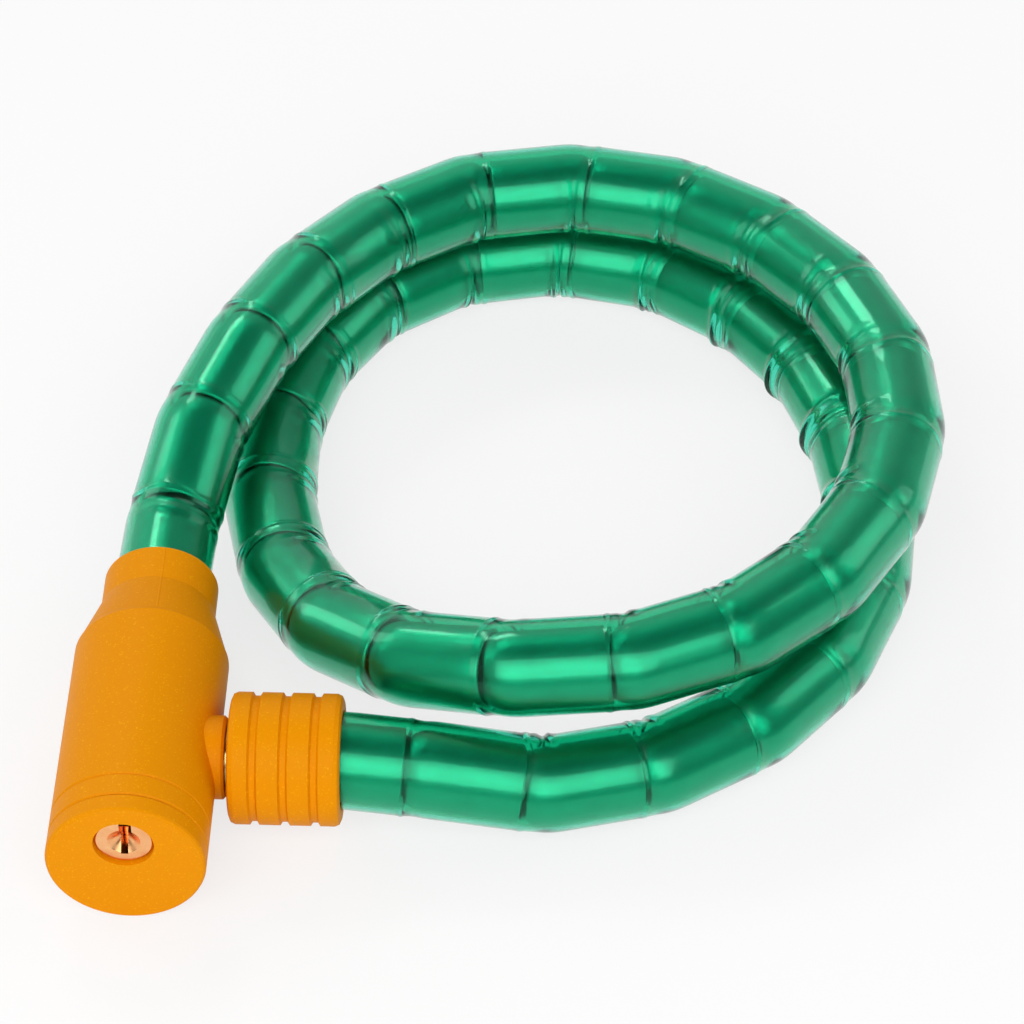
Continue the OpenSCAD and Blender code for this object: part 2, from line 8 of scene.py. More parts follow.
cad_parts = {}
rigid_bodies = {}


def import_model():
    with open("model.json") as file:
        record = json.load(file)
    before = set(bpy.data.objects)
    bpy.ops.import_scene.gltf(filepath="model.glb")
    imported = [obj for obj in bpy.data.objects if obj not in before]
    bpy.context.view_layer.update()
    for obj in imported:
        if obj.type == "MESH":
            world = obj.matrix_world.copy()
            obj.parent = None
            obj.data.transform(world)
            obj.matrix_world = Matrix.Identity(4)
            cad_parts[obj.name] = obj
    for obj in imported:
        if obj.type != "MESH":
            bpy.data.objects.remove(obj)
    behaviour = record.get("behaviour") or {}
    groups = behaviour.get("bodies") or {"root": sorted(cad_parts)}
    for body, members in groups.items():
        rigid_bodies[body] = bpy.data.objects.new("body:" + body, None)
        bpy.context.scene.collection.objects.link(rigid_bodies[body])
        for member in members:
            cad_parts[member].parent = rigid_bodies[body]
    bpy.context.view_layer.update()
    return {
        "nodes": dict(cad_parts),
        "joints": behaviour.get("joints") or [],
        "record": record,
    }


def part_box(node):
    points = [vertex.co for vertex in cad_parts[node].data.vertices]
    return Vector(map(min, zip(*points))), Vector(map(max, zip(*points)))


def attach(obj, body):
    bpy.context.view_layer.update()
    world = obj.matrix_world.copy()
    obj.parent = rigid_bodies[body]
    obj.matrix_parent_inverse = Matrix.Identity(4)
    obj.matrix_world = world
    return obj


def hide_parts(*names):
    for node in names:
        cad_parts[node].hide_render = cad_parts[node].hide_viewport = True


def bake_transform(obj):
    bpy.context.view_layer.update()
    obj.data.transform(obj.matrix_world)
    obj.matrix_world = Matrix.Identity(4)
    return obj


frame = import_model()

# Lock core. A zinc die casting that fills the body and carries the key cylinder, the latch and the
# cable's anchor. It goes into the cover first and is held there by the end cap.
MM = 0.001


def linear(colour):
    """Linear RGBA of an sRGB hex colour."""
    channels = [int(colour[i : i + 2], 16) / 255 for i in (1, 3, 5)]
    return [c / 12.92 if c <= 0.04045 else ((c + 0.055) / 1.055) ** 2.4 for c in channels] + [1.0]


def add_node(tree, kind, inputs=(), **settings):
    """Adds a node with its settings. An input given as a socket is linked, any other is set."""
    node = tree.nodes.new(kind)
    for name, value in settings.items():
        setattr(node, name, value)
    for name, value in dict(inputs).items():
        if isinstance(value, bpy.types.NodeSocket):
            tree.links.new(value, node.inputs[name])
        else:
            node.inputs[name].default_value = value
    return node


def start_material(name):
    """A new material and its node tree, still empty."""
    material = bpy.data.materials.new(name)
    material.use_nodes = True
    material.node_tree.nodes.clear()
    return material, material.node_tree


def metal(name, dark, light, roughness, mottle_mm, grain_mm, relief_mm, stretch=(1, 1, 1)):
    """A bare metal: mottled between two tones, with a grain that may be drawn out along an axis."""
    material, tree = start_material(name)
    place = add_node(tree, "ShaderNodeTexCoord").outputs["Object"]
    drawn = add_node(tree, "ShaderNodeMapping", {"Vector": place, "Scale": stretch}).outputs[0]
    mottle = add_node(
        tree, "ShaderNodeTexNoise", {"Vector": place, "Scale": 1 / (mottle_mm * MM), "Detail": 5}
    )
    grain = add_node(
        tree, "ShaderNodeTexNoise", {"Vector": drawn, "Scale": 1 / (grain_mm * MM), "Detail": 3}
    )
    tone = add_node(
        tree,
        "ShaderNodeMix",
        {0: mottle.outputs["Fac"], 6: linear(dark), 7: linear(light)},
        data_type="RGBA",
    )
    gloss = add_node(
        tree,
        "ShaderNodeMapRange",
        {"Value": grain.outputs["Fac"], "To Min": 0.8 * roughness, "To Max": 1.25 * roughness},
    )
    relief = add_node(
        tree, "ShaderNodeBump", {"Height": grain.outputs["Fac"], "Strength": 0.6, "Distance": relief_mm * MM}
    )
    shader = add_node(
        tree,
        "ShaderNodeBsdfPrincipled",
        {
            "Base Color": tone.outputs[2],
            "Metallic": 1.0,
            "Roughness": gloss.outputs[0],
            "Normal": relief.outputs[0],
        },
    )
    add_node(tree, "ShaderNodeOutputMaterial", {"Surface": shader.outputs[0]})
    return material


def dress(material, *names):
    """Gives CAD nodes their finish."""
    for name in names:
        slots = frame["nodes"][name].data.materials
        slots.clear()
        slots.append(material)


# Zinc as it leaves the die: dull grey, with flow marks a few millimetres long.
die_cast_zinc = metal(
    "die_cast_zinc", "#7C8083", "#A7AAAB", roughness=0.5, mottle_mm=4, grain_mm=0.5, relief_mm=0.03
)
dress(die_cast_zinc, "lock_core")

# Key cylinder. A brass shell and plug turned from bar, with brass pins on steel springs below the plug.
# The rings that the tool left are centred on the plug.
WAVE_RADIANS = 20  # the phase of Blender's wave texture over one unit of length
RING_PITCH = 2.0106 * MM
plug_low, plug_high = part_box("plug")
plug_axis = (plug_low + plug_high) / 2


def turned_brass():
    """Free-cutting brass off the lathe: warm, bright, with rings left by the tool."""
    material, tree = start_material("turned_brass")
    place = add_node(tree, "ShaderNodeTexCoord").outputs["Object"]
    centred = add_node(
        tree, "ShaderNodeMapping", {"Vector": place, "Location": (-plug_axis.x, 0, -plug_axis.z)}
    )
    rings = add_node(
        tree,
        "ShaderNodeTexWave",
        {
            "Vector": centred.outputs[0],
            "Scale": 2 * math.pi / (WAVE_RADIANS * RING_PITCH),
            "Distortion": 0.4,
            "Detail": 1,
        },
        wave_type="RINGS",
        rings_direction="Y",
    )
    stain = add_node(tree, "ShaderNodeTexNoise", {"Vector": place, "Scale": 1 / (2.5 * MM), "Detail": 4})
    tone = add_node(
        tree,
        "ShaderNodeMix",
        {0: stain.outputs["Fac"], 6: linear("#EC9C5E"), 7: linear("#FFCB94")},
        data_type="RGBA",
    )
    gloss = add_node(
        tree, "ShaderNodeMapRange", {"Value": rings.outputs["Fac"], "To Min": 0.2, "To Max": 0.34}
    )
    relief = add_node(
        tree, "ShaderNodeBump", {"Height": rings.outputs["Fac"], "Strength": 0.35, "Distance": 0.01 * MM}
    )
    shader = add_node(
        tree,
        "ShaderNodeBsdfPrincipled",
        {
            "Base Color": tone.outputs[2],
            "Metallic": 1.0,
            "Roughness": gloss.outputs[0],
            "Normal": relief.outputs[0],
        },
    )
    add_node(tree, "ShaderNodeOutputMaterial", {"Surface": shader.outputs[0]})
    return material


dress(turned_brass(), "cylinder_shell", "plug", "driver_pins", "key_pins")
spring_wire = metal(
    "spring_wire", "#8A8D90", "#C3C5C7", roughness=0.3, mottle_mm=1, grain_mm=0.1, relief_mm=0.004
)
dress(spring_wire, "tumbler_springs")

# Latch and pins. Hardened steel, blanked or ground to size, with the brown bloom of its heat treatment.
# The cylinder's cross pin, clip and cover are of the same steel.
hard_steel = metal(
    "hardened_steel",
    "#5E5A56",
    "#8F8B86",
    roughness=0.34,
    mottle_mm=6,
    grain_mm=0.25,
    relief_mm=0.01,
    stretch=(1, 0.1, 1),
)
dress(hard_steel, "latch_plate", "socket_bush", "drive_pin", "anchor_pin")
dress(hard_steel, "cylinder_pin", "plug_clip", "spring_cover")

# Cable anchor and end ferrule. Turned steel with a bright zinc plate, gripping the two ends of the rope.
zinc_plate = metal(
    "zinc_plated_steel", "#A9AEB2", "#D6D9DA", roughness=0.3, mottle_mm=3, grain_mm=0.4, relief_mm=0.008
)
dress(zinc_plate, "cable_anchor", "end_ferrule")

# Lock pin. A turned steel pin with a yellow-passivated plate, seen in the gap between boss and end cover.
yellow_plate = metal(
    "yellow_plated_steel",
    "#E3C26A",
    "#FFF0B8",
    roughness=0.22,
    mottle_mm=3,
    grain_mm=0.3,
    relief_mm=0.006,
    stretch=(1, 0.2, 0.2),
)
dress(yellow_plate, "lock_pin")

# Run of the cable. A link is turned about its own axis and its joint is the centre of its dome, so the
# joints are found from the CAD links. The first is the centre of the anchor's dome.
LINK_COUNT = 38
LINK_R = 9 * MM
DOME_HOLE_R = 6 * MM
dome_reach = math.sqrt(LINK_R**2 - DOME_HOLE_R**2)
body_of = {node: body for body, nodes in frame["record"]["behaviour"]["bodies"].items() for node in nodes}
hinged = {frozenset((joint["parent"], joint["child"])) for joint in frame["joints"]}


def corners_of(node):
    """Corner points of a CAD node, each once, to a tenth of a micrometre."""
    return np.unique(np.round([corner.co for corner in frame["nodes"][node].data.vertices], 7), axis=0)


def dome_centre(node, onward):
    """Centre of the dome at the front end of a turned node that faces roughly onward."""
    corners = corners_of(node)
    middle = corners.mean(axis=0)
    axes = np.linalg.eigh(np.cov((corners - middle).T))[1].T
    axis = max(axes, key=lambda each: abs(each @ onward))
    axis = axis * np.sign(axis @ onward)
    return Vector(middle + axis * (((corners - middle) @ axis).max() - dome_reach))


run = ["cable_anchor"] + [f"link_{i:02d}" for i in range(1, LINK_COUNT + 1)] + ["end_ferrule"]
middles = [corners_of(node).mean(axis=0) for node in run]
joints = [dome_centre(run[i], middles[i + 1] - middles[max(i - 1, 0)]) for i in range(LINK_COUNT + 1)]
pitch = (joints[2] - joints[1]).length


def lengths(first, corners, last):
    """For each corner of a run: its neighbours, and how far its own length reaches towards them."""
    points = [first, *corners, last]
    for i, corner in enumerate(corners):
        before, after = points[i], points[i + 2]
        reach_in = (corner - before).length / (2 if i else 1)
        reach_out = (after - corner).length / (2 if i < len(corners) - 1 else 1)
        yield before, corner, after, reach_in, reach_out


def follow(piece, i):
    """Bakes a length of cable's place into its mesh at a hinged joint i, or rides it on the links there
    where the joint is held still.
    """
    before, after = body_of[run[i]], body_of[run[i + 1]]
    if frozenset((before, after)) in hinged:
        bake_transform(piece)
    else:
        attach(piece, before)


def mesh_piece(name, points, faces, material, smooth=True):
    """Adds a mesh to the scene."""
    mesh = bpy.data.meshes.new(name)
    mesh.from_pydata([tuple(p) for p in points], [], faces)
    mesh.polygons.foreach_set("use_smooth", [smooth] * len(mesh.polygons))
    mesh.materials.append(material)
    mesh.update()
    piece = bpy.data.objects.new(name, mesh)
    bpy.context.scene.collection.objects.link(piece)
    return piece


def tube_faces(rings, sides, first=0, inward=False):
    """Quads between successive rings of points."""
    faces = []
    for i in range(rings - 1):
        for k in range(sides):
            a = first + i * sides + k
            b = first + i * sides + (k + 1) % sides
            quad = (a, b, b + sides, a + sides)
            faces.append(quad[::-1] if inward else quad)
    return faces


def corner_path(before, corner, after, round_off, distances):
    """Points and headings along two straight runs with a rounded corner. Distances are from the corner."""
    ahead_in = (corner - before).normalized()
    ahead_out = (after - corner).normalized()
    start = corner - ahead_in * round_off
    end = corner + ahead_out * round_off
    path = []
    for s in distances:
        if s <= -round_off:
            path.append((corner + ahead_in * s, ahead_in))
        elif s >= round_off:
            path.append((corner + ahead_out * s, ahead_out))
        else:
            t = (s + round_off) / (2 * round_off)
            point = start * (1 - t) ** 2 + corner * 2 * t * (1 - t) + end * t**2
            heading = ((corner - start) * (1 - t) + (end - corner) * t).normalized()
            path.append((point, heading))
    return path


def ring_axes(ahead):
    """Two axes across a heading. The first is level."""
    side = Vector((0, 0, 1)).cross(ahead).normalized()
    return side, ahead.cross(side)


# Wire rope. Galvanised steel, six strands laid round a core, run through all the links and gripped by the
# anchor and the ferrule. It bends with the links, so it is one length for each joint, with a fine gap
# between lengths.
ROPE_R = 3.5 * MM
ROPE_LAY = 45 * MM
ROPE_GAP = 0.1 * MM
ROPE_ROUND_OFF = 4 * MM
ROPE_STEPS = 12
STRANDS = 6
STRAND_SIDES = 8
STRAND_GROOVE = 0.2
ANCHOR_FLOOR = 2 * MM
FERRULE_FLOOR = 5 * MM
galvanised_rope = metal(
    "galvanised_wire", "#7D8286", "#BDC1C4", roughness=0.38, mottle_mm=2, grain_mm=0.35, relief_mm=0.02
)


def rope_piece(name, path, distance):
    """Rope of laid strands along a path. Distance is the length of rope before the path starts."""
    sides = STRAND_SIDES * STRANDS
    points = []
    for k, (point, ahead) in enumerate(path):
        distance += (point - path[k - 1][0]).length if k else 0
        side, up = ring_axes(ahead)
        for j in range(sides):
            angle = 2 * math.pi * j / sides
            lay = STRANDS * (angle / 2 - math.pi * distance / ROPE_LAY)
            r = ROPE_R * (1 - STRAND_GROOVE + STRAND_GROOVE * abs(math.cos(lay)))
            points.append(point + side * (r * math.cos(angle)) + up * (r * math.sin(angle)))
    piece = mesh_piece(name, points, tube_faces(len(path), sides), galvanised_rope)
    return piece


rope_start = Vector((joints[0].x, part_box("cable_anchor")[0].y + ANCHOR_FLOOR, joints[0].z))
rope_end = Vector((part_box("end_ferrule")[0].x + FERRULE_FLOOR, joints[-1].y, joints[-1].z))
for i, (before, joint, after, half_in, half_out) in enumerate(lengths(rope_start, joints, rope_end)):
    towards = np.linspace(ROPE_GAP - half_in, 0, ROPE_STEPS)
    onwards = np.linspace(0, half_out - ROPE_GAP, ROPE_STEPS)
    distances = np.concatenate([towards, onwards[1:]])
    path = corner_path(before, joint, after, ROPE_ROUND_OFF, distances)
    piece = rope_piece(f"rope_{i:02d}", path, i * pitch - half_in)
    follow(piece, i)
    if i == 0:
        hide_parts("inner_rope")

# Armour links. Each is pressed from steel tube: one end is closed to a dome and the other is left open as
# a mouth with a rolled edge, so that the dome of one turns in the mouth of the next.
LINK_WALL = 1.2 * MM
LINK_SIDES = 64
WALL_STEPS = 6
MOUTH_CLEARANCE = 0.3 * MM
mouth_r = LINK_R - LINK_WALL
mouth_off = math.sqrt((LINK_R + MOUTH_CLEARANCE) ** 2 - mouth_r**2)
pressed_steel = metal(
    "pressed_steel",
    "#D6DAD8",
    "#F2F4F3",
    roughness=0.46,
    mottle_mm=7,
    grain_mm=0.8,
    relief_mm=0.002,
    stretch=(1, 1, 0.1),
)


def arc(centre, radius, start, end, steps):
    """Points (radius, height) of a profile's round stretch, from one angle in degrees to another."""
    angles = [math.radians(start + (end - start) * k / steps) for k in range(steps + 1)]
    return [(centre[0] + radius * math.cos(a), centre[1] + radius * math.sin(a)) for a in angles]


def turned(profile, sides):
    """Points and faces of a closed profile of (radius, height) turned about the z axis."""
    points = [
        (r * math.cos(2 * math.pi * k / sides), r * math.sin(2 * math.pi * k / sides), z)
        for r, z in profile
        for k in range(sides)
    ]
    faces = tube_faces(len(profile), sides)
    last = (len(profile) - 1) * sides
    faces += [(last + k, last + (k + 1) % sides, (k + 1) % sides, k) for k in range(sides)]
    return points, faces


def link_profile(length):
    """Half section of a link, its joint at z = 0 and its mouth below."""
    mouth = mouth_off - length
    lip = LINK_WALL / 2
    hole_angle = math.degrees(math.acos(DOME_HOLE_R / LINK_R))
    inner_angle = math.degrees(math.acos(DOME_HOLE_R / mouth_r))
    rolled_lip = arc((LINK_R - lip, mouth + lip), lip, start=180, end=360, steps=6)
    wall = [(LINK_R, (mouth + lip) * (1 - k / WALL_STEPS)) for k in range(1, WALL_STEPS)]
    dome = arc((0, 0), LINK_R, start=0, end=hole_angle, steps=10)
    inside = arc((0, 0), mouth_r, start=inner_angle, end=0, steps=10)
    return rolled_lip + wall + dome + inside


link_points, link_faces = turned(link_profile(pitch), LINK_SIDES)
for i in range(1, LINK_COUNT + 1):
    along = (joints[i] - joints[i - 1]).normalized()
    link = mesh_piece(f"armour_link_{i:02d}", link_points, link_faces, pressed_steel)
    link.matrix_world = Matrix.Translation(joints[i]) @ along.to_track_quat("Z", "Y").to_matrix().to_4x4()
    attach(link, body_of[run[i]])
    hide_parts(run[i])

# Clear sleeve. A tube of green plasticised PVC, extruded, drawn over the links and tucked into the collar
# and the end cover. It creases on the inner side of each bend and stretches flat on the outer side, and
# the mouth of each link shows through as a low ridge.
SLEEVE_R = 11 * MM
SLEEVE_BORE_R = 10 * MM
SLEEVE_SIDES = 56
SLEEVE_ROUND_OFF = 3 * MM
SLEEVE_RISE = 0.7 * MM
RISE_LINKS = 2
MOUTH_REACH = 0.5 * MM
COLLAR_TUCK = 14 * MM
COVER_TUCK = 2.4 * MM
STRAIGHT_DEG = 0.1
LEAST_CREASED_DEG = 2
SHARP_BEND_DEG = 20
SQUEEZE_H = 0.6 * MM
SINK_DEPTH = 0.2 * MM
RIM_H = 0.28 * MM
CREASE_STRAY = 0.7 * MM
CREASE_WAVES = 4
# Where the sleeve is bunched into raised rings, by joint.
BUNCHED = {26: 0.5 * MM, 27: 0.9 * MM, 28: 1.3 * MM, 29: 1.5 * MM, 30: 1.5 * MM, 31: 0.7 * MM}
# Distances of the sleeve's rings of points from a joint, close together where it creases.
NEAR_IN = np.array([6.4, 5.6, 4.8, 4.1, 3.4, 2.8, 2.2, 1.6, 1.1, 0.7, 0.35]) * MM
NEAR_OUT = np.array([0.35, 0.7, 1.1, 1.6, 2.2, 2.8, 3.4, 4, 4.3, 4.6, 4.9, 5.2, 5.5, 5.8, 6.1, 6.6]) * MM
NEAR_MARGIN = 1 * MM
rng = np.random.default_rng(7)


def clear_green_pvc():
    """Clear tinted PVC: glossy, a little hazy, with dust pressed into it. Its tint deepens edge on."""
    material, tree = start_material("clear_green_pvc")
    place = add_node(tree, "ShaderNodeTexCoord").outputs["Object"]
    along = add_node(tree, "ShaderNodeUVMap", uv_map="tube_metres").outputs[0]
    lines = add_node(
        tree, "ShaderNodeMapping", {"Vector": along, "Scale": (1 / (1.5 * MM), 1 / (40 * MM), 1)}
    )
    streaks = add_node(tree, "ShaderNodeTexNoise", {"Vector": lines.outputs[0], "Scale": 1.0, "Detail": 2})
    haze = add_node(tree, "ShaderNodeTexNoise", {"Vector": place, "Scale": 1 / (9 * MM), "Detail": 4})
    dust = add_node(tree, "ShaderNodeTexNoise", {"Vector": place, "Scale": 1 / (0.9 * MM), "Detail": 1})
    specks = add_node(
        tree,
        "ShaderNodeMapRange",
        {"Value": dust.outputs["Fac"], "From Min": 0.72, "From Max": 0.8, "To Min": 0.0, "To Max": 1.0},
    )
    gloss = add_node(
        tree,
        "ShaderNodeMapRange",
        {"Value": haze.outputs["Fac"], "From Min": 0.3, "From Max": 0.7, "To Min": 0.05, "To Max": 0.12},
    )
    height = add_node(
        tree, "ShaderNodeMath", {0: streaks.outputs["Fac"], 1: specks.outputs[0]}, operation="ADD"
    )
    relief = add_node(
        tree, "ShaderNodeBump", {"Height": height.outputs[0], "Strength": 0.06, "Distance": 0.03 * MM}
    )
    facing = add_node(tree, "ShaderNodeLayerWeight", {"Blend": 0.5}).outputs["Facing"]
    edge = add_node(tree, "ShaderNodeMapRange", {"Value": facing, "From Min": 0.55, "From Max": 0.95})
    tint = add_node(
        tree,
        "ShaderNodeMix",
        {0: edge.outputs[0], 6: linear("#48DDB8"), 7: linear("#069F6E")},
        data_type="RGBA",
    )
    shader = add_node(
        tree,
        "ShaderNodeBsdfPrincipled",
        {
            "Base Color": tint.outputs[2],
            "Roughness": gloss.outputs[0],
            "IOR": 1.53,
            "Specular Tint": linear("#20D09C"),
            "Transmission Weight": 1.0,
            "Coat Weight": 0.35,
            "Coat Roughness": 0.22,
            "Normal": relief.outputs[0],
        },
    )
    add_node(tree, "ShaderNodeOutputMaterial", {"Surface": shader.outputs[0]})
    return material


green_pvc = clear_green_pvc()


def bell(s, at_mm, width_mm):
    """A smooth bump of height 1 at a place along the sleeve."""
    return math.exp(-(((s / MM - at_mm) / width_mm) ** 2))


def crease(s, inner, bend_deg, bunched):
    """Height of the sleeve's creases at a distance from the joint. Inner is 1 at the inside of the bend."""
    pair = bell(abs(s), at_mm=2.9, width_mm=1.3) - 0.4 * bell(s, at_mm=0, width_mm=1.2)
    squeeze = SQUEEZE_H * min(1.0, bend_deg / SHARP_BEND_DEG) * max(0.0, inner) ** 1.5
    folds = bell(s, at_mm=-1.5, width_mm=1.6) + 0.6 * bell(s, at_mm=2.2, width_mm=0.9)
    bunch = bunched * max(0.0, 0.3 + 0.7 * inner)
    rim = RIM_H * (0.7 + 0.3 * inner) * bell(s, at_mm=mouth_off / MM, width_mm=0.55)
    sunk = SINK_DEPTH * bell(s, at_mm=2.4, width_mm=1.8)
    return squeeze * pair + bunch * folds + rim - sunk


def sleeve_piece(name, path, distances, outside, bend_deg, bunched, closed_start=False, closed_end=False):
    """Both walls of a length of sleeve. Its open ends meet the next lengths."""
    shift, lean, zigzag = rng.uniform(-CREASE_STRAY, CREASE_STRAY, 3)
    turn = rng.uniform(0, 2 * math.pi)
    walls = []
    for radius, creased in ((SLEEVE_R, bend_deg > LEAST_CREASED_DEG), (SLEEVE_BORE_R, False)):
        for (point, ahead), s in zip(path, distances):
            side, up = ring_axes(ahead)
            for k in range(SLEEVE_SIDES):
                angle = 2 * math.pi * k / SLEEVE_SIDES
                out = side * math.cos(angle) + up * math.sin(angle)
                inner = -out.dot(outside)
                stray = shift + lean * inner + zigzag * math.sin(CREASE_WAVES * angle + turn)
                rise = crease(s - stray, inner, bend_deg, bunched) if creased else 0
                spot = point + out * (radius + rise)
                spot.z = max(spot.z, 0.0)
                walls.append(spot)
    n = len(path)
    bore = n * SLEEVE_SIDES
    faces = tube_faces(n, SLEEVE_SIDES) + tube_faces(n, SLEEVE_SIDES, bore, True)
    for k in range(SLEEVE_SIDES):
        j = (k + 1) % SLEEVE_SIDES
        if closed_start:
            faces.append((k, bore + k, bore + j, j))
        if closed_end:
            last = (n - 1) * SLEEVE_SIDES
            faces.append((last + k, last + j, bore + last + j, bore + last + k))
    piece = mesh_piece(name, walls, faces, green_pvc)
    layer = piece.data.uv_layers.new(name="tube_metres")
    for loop in piece.data.loops:
        k = loop.vertex_index % SLEEVE_SIDES
        row = loop.vertex_index // SLEEVE_SIDES % n
        layer.data[loop.index].uv = (2 * math.pi * SLEEVE_R * k / SLEEVE_SIDES, distances[row])
    return piece


def lift(i):
    """How far the sleeve is raised at joint i, so that the links lie on the floor of its bore."""
    return Vector((0, 0, SLEEVE_RISE * min(1, i / RISE_LINKS, (LINK_COUNT - i) / RISE_LINKS)))


def spread(half_in, half_out):
    """Distances of all rings of a length from its joint."""
    rings_in = NEAR_IN[NEAR_IN < half_in - NEAR_MARGIN]
    rings_out = NEAR_OUT[NEAR_OUT < half_out - NEAR_MARGIN]
    return np.concatenate([[-half_in], -rings_in, [0], rings_out, [half_out]])


collar_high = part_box("body_cover")[1]
cover_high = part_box("end_cover")[1]
neck_out = Vector((joints[0].x, collar_high.y + MOUTH_REACH, joints[0].z))
neck_in = Vector((joints[0].x, collar_high.y - COLLAR_TUCK, joints[0].z))
cover_out = Vector((cover_high.x + MOUTH_REACH, joints[-1].y, joints[-1].z))
cover_in = Vector((joints[-1].x - COVER_TUCK, joints[-1].y, joints[-1].z))
corners = [neck_out] + [joints[i] + lift(i) for i in range(1, LINK_COUNT)] + [cover_out]
for i, (before, corner, after, half_in, half_out) in enumerate(lengths(neck_in, corners, cover_in)):
    distances = spread(half_in, half_out)
    ahead_in = (corner - before).normalized()
    ahead_out = (after - corner).normalized()
    bend = math.degrees(ahead_in.angle(ahead_out))
    outside = (ahead_in - ahead_out).normalized() if bend > STRAIGHT_DEG else Vector((0, 0, 1))
    path = corner_path(before, corner, after, SLEEVE_ROUND_OFF, distances)
    creased = bend if 0 < i < LINK_COUNT else 0
    piece = sleeve_piece(
        f"sleeve_{i:02d}", path, distances, outside, creased, BUNCHED.get(i, 0), i == 0, i == LINK_COUNT
    )
    follow(piece, i)
    if i == 0:
        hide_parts("sleeve")

# Body cover, end cap and end cover. Injection-moulded orange plastic with a fine spark-eroded surface. The
# cover slides over the core, the cap closes it at the key end and the end cover is moulded over the ferrule.


def moulded_plastic():
    """Matt moulded plastic: an even strong colour, with bright specks painted into it as the glints of a
    spark-eroded mould's texture.
    """
    material, tree = start_material("moulded_orange_plastic")
    place = add_node(tree, "ShaderNodeTexCoord").outputs["Object"]
    grain = add_node(tree, "ShaderNodeTexNoise", {"Vector": place, "Scale": 1 / (0.45 * MM), "Detail": 2})
    cloud = add_node(tree, "ShaderNodeTexNoise", {"Vector": place, "Scale": 1 / (16 * MM), "Detail": 3})
    # Noise that places the painted glints.
    glint_noise = add_node(tree, "ShaderNodeTexNoise", {"Vector": place, "Scale": 1 / (0.5 * MM), "Detail": 1})
    fine = add_node(
        tree,
        "ShaderNodeMix",
        {0: grain.outputs["Fac"], 6: linear("#DE8A00"), 7: linear("#EA9302")},
        data_type="RGBA",
    )
    even = add_node(
        tree,
        "ShaderNodeMix",
        {0: cloud.outputs["Fac"], 6: fine.outputs[2], 7: linear("#E48E00")},
        data_type="RGBA",
    )
    # Painted glints: bright yellow specks mixed into the colour where the noise is high, standing in for
    # light glinting off the texture.
    painted_glints = add_node(
        tree,
        "ShaderNodeMapRange",
        {"Value": glint_noise.outputs["Fac"], "From Min": 0.62, "From Max": 0.74, "To Min": 0.0, "To Max": 0.4},
    )
    tone = add_node(
        tree,
        "ShaderNodeMix",
        {0: painted_glints.outputs[0], 6: even.outputs[2], 7: linear("#FFC010")},
        data_type="RGBA",
    )
    gloss = add_node(
        tree, "ShaderNodeMapRange", {"Value": grain.outputs["Fac"], "To Min": 0.38, "To Max": 0.56}
    )
    relief = add_node(
        tree, "ShaderNodeBump", {"Height": grain.outputs["Fac"], "Strength": 0.25, "Distance": 0.03 * MM}
    )
    shader = add_node(
        tree,
        "ShaderNodeBsdfPrincipled",
        {
            "Base Color": tone.outputs[2],
            "Roughness": gloss.outputs[0],
            "IOR": 1.49,
            "Specular IOR Level": 0.05,
            "Normal": relief.outputs[0],
        },
    )
    add_node(tree, "ShaderNodeOutputMaterial", {"Surface": shader.outputs[0]})
    return material


orange_plastic = moulded_plastic()
dress(orange_plastic, "body_cover", "end_cap", "end_cover")

# Parting line. A low ridge of plastic where the two halves of the mould met, left along the top of the
# cover's collar and shoulder.
COLLAR_R = 13.25 * MM
COLLAR_LEN = 10.4 * MM
COLLAR_EDGE = 0.9 * MM
FILLET_LEN = 0.6 * MM
FILLET_RISE = 0.2 * MM
SHOULDER_LEN = 13.6 * MM
SHOULDER_FOOT_R = 17.3 * MM
RIDGE_W = 0.5 * MM
RIDGE_H = 0.05 * MM
RIDGE_STEP = 0.4 * MM
RIDGE_TURN = math.radians(7)
# One flank of the ridge, as (across, up) in half widths and heights. Its foot is sunk in the cover.
RIDGE_FLANK = [(2, -2.5), (1, -0.1), (0.6, 0.55), (0.3, 0.9)]


def parting_ridge():
    """A ridge with a round top that follows the cover's outline from the collar to the shoulder's foot."""
    end = collar_high.y - COLLAR_EDGE
    collar_start = collar_high.y - COLLAR_LEN
    shoulder_start = collar_start - SHOULDER_LEN
    outline_y = [shoulder_start, collar_start - FILLET_LEN, collar_start, end]
    outline_r = [SHOULDER_FOOT_R, COLLAR_R + FILLET_RISE, COLLAR_R, COLLAR_R]
    stations = np.arange(end, shoulder_start, -RIDGE_STEP)
    section = RIDGE_FLANK + [(0, 1)] + [(-across, up) for across, up in RIDGE_FLANK[::-1]]
    points = []
    for y, r in zip(stations, np.interp(stations, outline_y, outline_r)):
        for across, up in section:
            turn = RIDGE_TURN + across * RIDGE_W / 2 / r
            height = r + up * RIDGE_H
            points.append((joints[0].x + height * math.sin(turn), y, joints[0].z + height * math.cos(turn)))
    n = len(section)
    faces = tube_faces(len(stations), n)
    faces += [tuple(range(n))[::-1], tuple(range(len(points) - n, len(points)))]
    return mesh_piece("parting_line", points, faces, orange_plastic)


parting_line = parting_ridge()
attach(parting_line, "lock")

# Studio. A plain white floor under large softboxes, with the camera above and in front of the lock.
FLOOR_HALF = 2.0
FLOOR_GLOW = 0.75


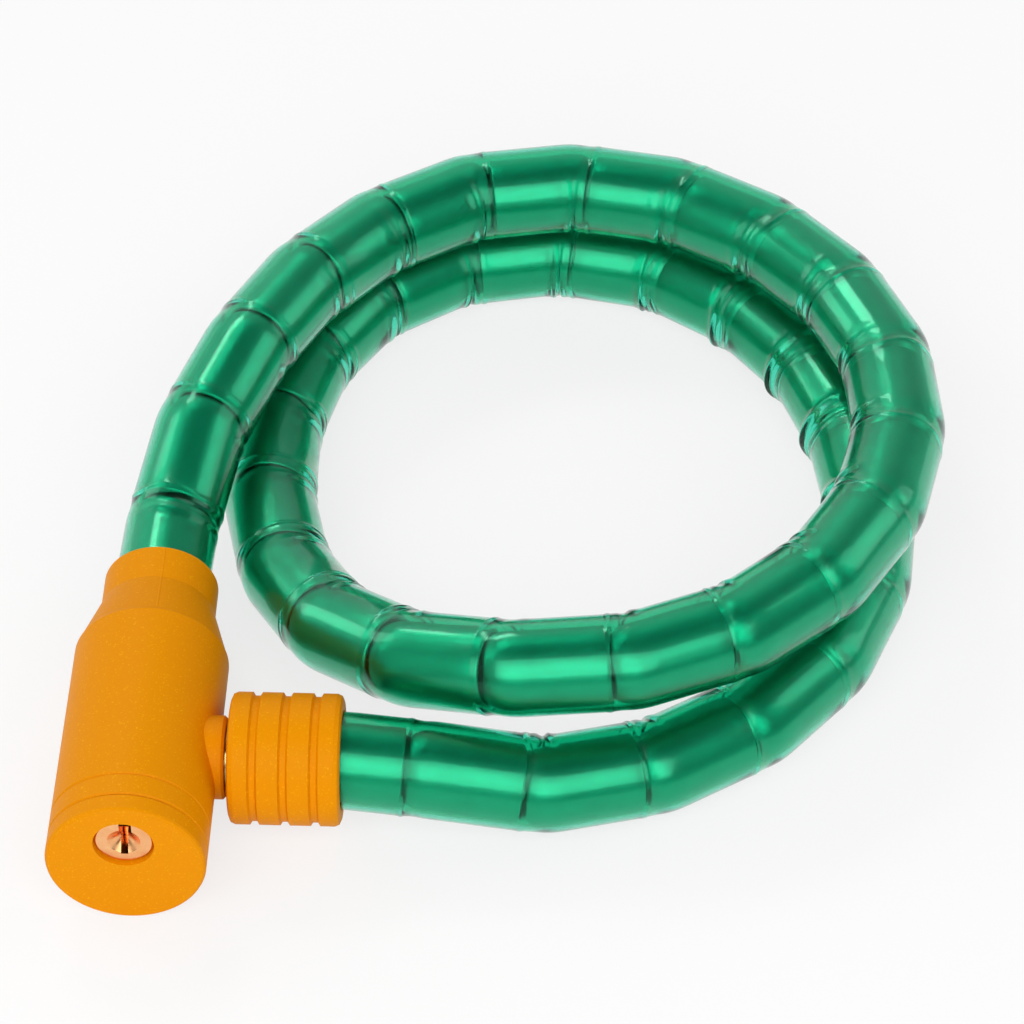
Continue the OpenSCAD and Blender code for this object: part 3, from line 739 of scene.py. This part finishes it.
def white_floor():
    """Matt white paper, seen as white and still taking the object's shadow."""
    material, tree = start_material("white_paper")
    rays = add_node(tree, "ShaderNodeLightPath").outputs
    seen = rays["Is Camera Ray"]
    for kind in ("Is Glossy Ray", "Is Transmission Ray"):
        seen = add_node(tree, "ShaderNodeMath", {0: seen, 1: rays[kind]}, operation="MAXIMUM").outputs[0]
    share = add_node(tree, "ShaderNodeMath", {0: seen, 1: FLOOR_GLOW}, operation="MULTIPLY").outputs[0]
    paper = add_node(tree, "ShaderNodeBsdfDiffuse", {"Color": linear("#F4F4F4")}).outputs[0]
    glow = add_node(tree, "ShaderNodeEmission", {"Color": linear("#FFFFFF"), "Strength": 1.0}).outputs[0]
    mixed = add_node(tree, "ShaderNodeMixShader", {0: share, 1: paper, 2: glow})
    add_node(tree, "ShaderNodeOutputMaterial", {"Surface": mixed.outputs[0]})
    return material


floor_corners = [(x * FLOOR_HALF, y * FLOOR_HALF, 0) for x, y in ((-1, -1), (1, -1), (1, 1), (-1, 1))]
floor = mesh_piece("floor", floor_corners, [(0, 1, 2, 3)], white_floor(), smooth=False)


def softbox(name, azimuth, elevation, distance, size, radiance):
    """A flat lamp that faces the object. Azimuth 0 is in front of it and 90 to its right."""
    a, e = math.radians(azimuth), math.radians(elevation)
    back = Vector((math.sin(a) * math.cos(e), -math.cos(a) * math.cos(e), math.sin(e)))
    lamp = bpy.data.lights.new(name, "AREA")
    lamp.shape = "RECTANGLE"
    lamp.size, lamp.size_y = size
    lamp.energy = radiance * math.pi * size[0] * size[1]
    holder = bpy.data.objects.new(name, lamp)
    holder.location = back * distance
    holder.rotation_mode = "QUATERNION"
    holder.rotation_quaternion = (-back).to_track_quat("-Z", "Y")
    bpy.context.scene.collection.objects.link(holder)


softbox("front_softbox", azimuth=0, elevation=42, distance=1.5, size=(2.2, 1.2), radiance=2.6)
softbox("left_softbox", azimuth=-110, elevation=30, distance=1.3, size=(0.4, 0.7), radiance=2.6)
softbox("right_softbox", azimuth=100, elevation=30, distance=1.3, size=(0.5, 0.9), radiance=1.7)
softbox("back_softbox", azimuth=-150, elevation=48, distance=1.4, size=(0.5, 0.22), radiance=7.0)

# The room is palest behind the lock, dimmer to its right and dark overhead, where no lamp hangs. The camera
# sees it white. Each row is an axis, where the level starts and stops changing along it, and the two levels.
ROOM_LEVELS = [("Y", -0.1, 0.6, 0.36, 0.75), ("X", 0.1, 0.5, 1.0, 0.5), ("Z", 0.78, 0.93, 1.0, 0.16)]
world = bpy.data.worlds.new("studio")
world.use_nodes = True
room_tree = world.node_tree
room_tree.nodes.clear()
aim = add_node(room_tree, "ShaderNodeTexCoord").outputs["Generated"]
aim = add_node(room_tree, "ShaderNodeSeparateXYZ", {"Vector": aim}).outputs
level = 1.0
for axis, start, stop, first_level, last_level in ROOM_LEVELS:
    ramp = add_node(
        room_tree,
        "ShaderNodeMapRange",
        {
            "Value": aim[axis],
            "From Min": start,
            "From Max": stop,
            "To Min": first_level,
            "To Max": last_level,
        },
    )
    level = add_node(
        room_tree, "ShaderNodeMath", {0: level, 1: ramp.outputs[0]}, operation="MULTIPLY"
    ).outputs[0]
to_camera = add_node(room_tree, "ShaderNodeLightPath").outputs["Is Camera Ray"]
level = add_node(room_tree, "ShaderNodeMath", {0: level, 1: to_camera}, operation="MAXIMUM").outputs[0]
room = add_node(room_tree, "ShaderNodeBackground", {"Strength": level, "Color": linear("#FFFFFF")})
add_node(room_tree, "ShaderNodeOutputWorld", {"Surface": room.outputs[0]})
bpy.context.scene.world = world

CAMERA_AT = Vector((20.35, -701.54, 694.66)) * MM
CAMERA_AIM = Vector((-2.75, 17.43, 0)) * MM
lens = bpy.data.cameras.new("camera")
lens.sensor_width = 36
lens.lens = 144.14
lens.clip_start = 0.01
camera = bpy.data.objects.new("camera", lens)
camera.location = CAMERA_AT
camera.rotation_mode = "QUATERNION"
camera.rotation_quaternion = (CAMERA_AIM - CAMERA_AT).to_track_quat("-Z", "Y")
bpy.context.scene.collection.objects.link(camera)
bpy.context.scene.camera = camera
bpy.context.scene.view_settings.view_transform = "Standard"
